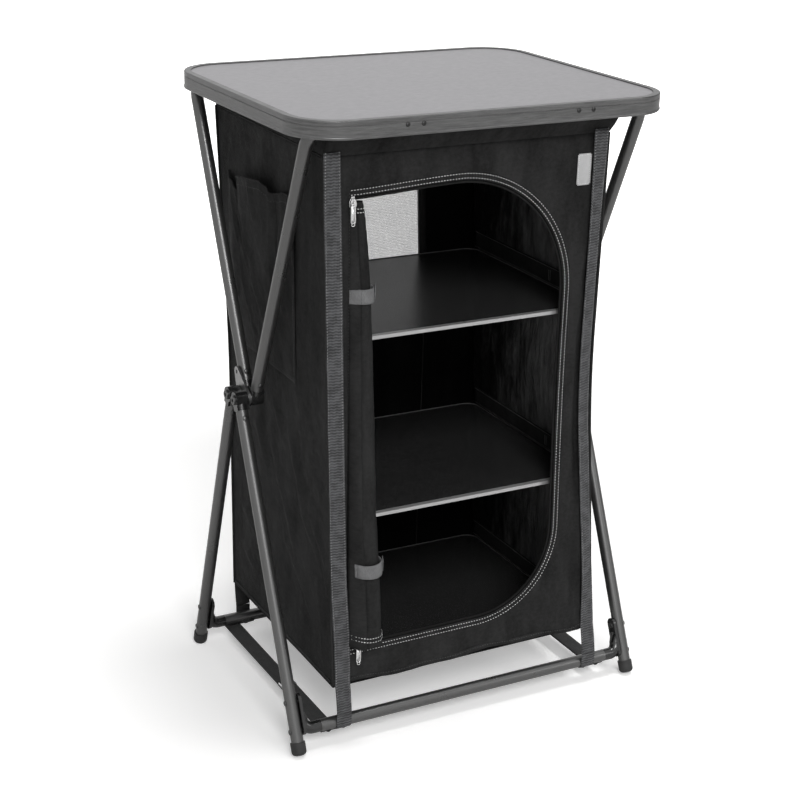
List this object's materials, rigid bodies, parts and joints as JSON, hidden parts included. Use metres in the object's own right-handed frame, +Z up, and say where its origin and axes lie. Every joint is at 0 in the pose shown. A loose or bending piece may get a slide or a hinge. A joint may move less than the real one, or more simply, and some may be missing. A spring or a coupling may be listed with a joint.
{
  "type": "camping cupboard",
  "caption": "Folding camping cupboard: a grey table on crossed tube legs carries a black fabric cupboard with shelves, a side pocket and a rolled-up zip door",
  "frame": {"origin": "on the floor below the middle of the table", "axes": "+X to the cupboard's right seen from its front, +Y to its rear, +Z up"},
  "size_m": [0.6174, 0.5018, 0.96],
  "materials": {
    "panel": "light grey laminated tabletop panel",
    "edge": "gunmetal anodised aluminium edge, brushed",
    "tube": "dark grey powder coated tube, satin",
    "moulding": "black moulded plastic, slightly glossy",
    "rubber": "black rubber",
    "steel": "plated steel",
    "fastener": "black steel rivets and pins",
    "trim": "bright shelf edge",
    "board": "black cloth covered board",
    "mesh": "open light grey mesh",
    "grey_webbing": "dark grey ribbed webbing",
    "black_webbing": "black webbing",
    "tag": "blank light grey label",
    "zip_metal": "bright nickel zip slider",
    "cloth": "black woven polyester"
  },
  "bodies": {
    "table_and_cupboard": {"bar_clips": "moulding", "bottom_panel": "cloth", "collar": "cloth", "door_roll": "cloth", "edge_screws": "steel", "front_left_strap": "grey_webbing", "front_panel": "cloth", "front_right_strap": "grey_webbing", "hub_pins": "fastener", "hub_plates": "steel", "hub_washers": "steel", "left_panel": "cloth", "mesh_window": "mesh", "rear_left_strap": "black_webbing", "rear_panel": "cloth", "rear_right_strap": "black_webbing", "right_panel": "cloth", "roll_straps": "grey_webbing", "shelf_bands": "cloth", "side_pocket": "cloth", "table_edge": "edge", "table_panel": "panel", "tag": "tag", "upper_eyes": "moulding", "upper_front_frame": "tube", "upper_rear_frame": "tube", "upper_rivets": "fastener", "zip_tape": "cloth"},
    "front_leg_frame": {"front_legs": "tube", "lower_front_eyes": "moulding", "front_crossbar": "tube", "front_elbows": "moulding", "front_leg_rivets": "fastener", "front_feet": "rubber", "front_strap_loops": "grey_webbing", "front_floor_straps": "black_webbing"},
    "rear_leg_frame": {"rear_legs": "tube", "lower_rear_eyes": "moulding", "rear_crossbar": "tube", "rear_elbows": "moulding", "rear_leg_rivets": "fastener", "rear_feet": "rubber", "rear_strap_loops": "black_webbing", "rear_floor_straps": "black_webbing"},
    "left_adjuster": {"left_strap_adjuster": "zip_metal"},
    "right_adjuster": {"right_strap_adjuster": "zip_metal"},
    "upper_shelf_board": {"upper_shelf": "board", "upper_shelf_trim": "trim"},
    "middle_shelf_board": {"middle_shelf": "board", "middle_shelf_trim": "trim"},
    "floor_shelf_board": {"floor_shelf": "board", "floor_shelf_trim": "trim"},
    "upper_zip_end": {"upper_zip_stop": "zip_metal"},
    "upper_zip_runner": {"upper_zip_slider": "zip_metal"},
    "upper_zip_handle": {"upper_zip_pull": "zip_metal"},
    "lower_zip_end": {"lower_zip_stop": "zip_metal"},
    "lower_zip_runner": {"lower_zip_slider": "zip_metal"},
    "lower_zip_handle": {"lower_zip_pull": "zip_metal"}
  },
  "joints": [
    {"name": "front_fold", "type": "hinge", "parent": "table_and_cupboard", "child": "front_leg_frame", "pos_m": [0, -0.0088, 0.499], "axis": [-1, 0, 0], "range_deg": [0, 122], "deforming": ["collar", "front_panel", "left_panel", "right_panel", "rear_panel", "bottom_panel", "mesh_window", "zip_tape", "door_roll", "roll_straps", "front_left_strap", "front_right_strap", "rear_left_strap", "rear_right_strap", "shelf_bands", "side_pocket", "tag"]},
    {"name": "rear_fold", "type": "hinge", "parent": "table_and_cupboard", "child": "rear_leg_frame", "pos_m": [0, 0.0188, 0.499], "axis": [1, 0, 0], "range_deg": [0, 128.1]},
    {"name": "left_adjust", "type": "slide", "parent": "front_leg_frame", "child": "left_adjuster", "axis": [0, -1, 0], "range_m": [0, 0.09]},
    {"name": "right_adjust", "type": "slide", "parent": "front_leg_frame", "child": "right_adjuster", "axis": [0, -1, 0], "range_m": [0, 0.09]},
    {"name": "upper_shelf_lift", "type": "slide", "parent": "table_and_cupboard", "child": "upper_shelf_board", "axis": [0, 0, 1], "range_m": [0, 0.1579]},
    {"name": "middle_shelf_lift", "type": "slide", "parent": "table_and_cupboard", "child": "middle_shelf_board", "axis": [0, 0, 1], "range_m": [0, 0.3048]},
    {"name": "floor_shelf_lift", "type": "slide", "parent": "table_and_cupboard", "child": "floor_shelf_board", "axis": [0, 0, 1], "range_m": [0, 0.4396]},
    {"name": "upper_zip_lift", "type": "slide", "parent": "table_and_cupboard", "child": "upper_zip_end", "axis": [0, 0, 1], "range_m": [0, 0.0435]},
    {"name": "upper_zip_travel", "type": "slide", "parent": "upper_zip_end", "child": "upper_zip_runner", "axis": [1, 0, 0], "range_m": [0, 0.16]},
    {"name": "upper_pull_swing", "type": "hinge", "parent": "upper_zip_runner", "child": "upper_zip_handle", "pos_m": [-0.204, -0.21488, 0.8519], "axis": [-1, 0, 0], "range_deg": [0, 100]},
    {"name": "lower_zip_lift", "type": "slide", "parent": "table_and_cupboard", "child": "lower_zip_end", "axis": [0, 0, 1], "range_m": [0, 0.4091]},
    {"name": "lower_zip_travel", "type": "slide", "parent": "lower_zip_end", "child": "lower_zip_runner", "axis": [1, 0, 0], "range_m": [0, 0.2]},
    {"name": "lower_pull_swing", "type": "hinge", "parent": "lower_zip_runner", "child": "lower_zip_handle", "pos_m": [-0.194, -0.22195, 0.1621], "axis": [-1, 0, 0], "range_deg": [0, 100]}
  ],
  "couplings": [
    {"joint": "rear_fold", "follows": "front_fold", "ratio": 1.0491},
    {"joint": "upper_shelf_lift", "follows": "front_fold", "m_per_rad": 0.07415},
    {"joint": "middle_shelf_lift", "follows": "front_fold", "m_per_rad": 0.14314},
    {"joint": "floor_shelf_lift", "follows": "front_fold", "m_per_rad": 0.20645},
    {"joint": "upper_zip_lift", "follows": "front_fold", "m_per_rad": 0.02042},
    {"joint": "lower_zip_lift", "follows": "front_fold", "m_per_rad": 0.19212}
  ]
}
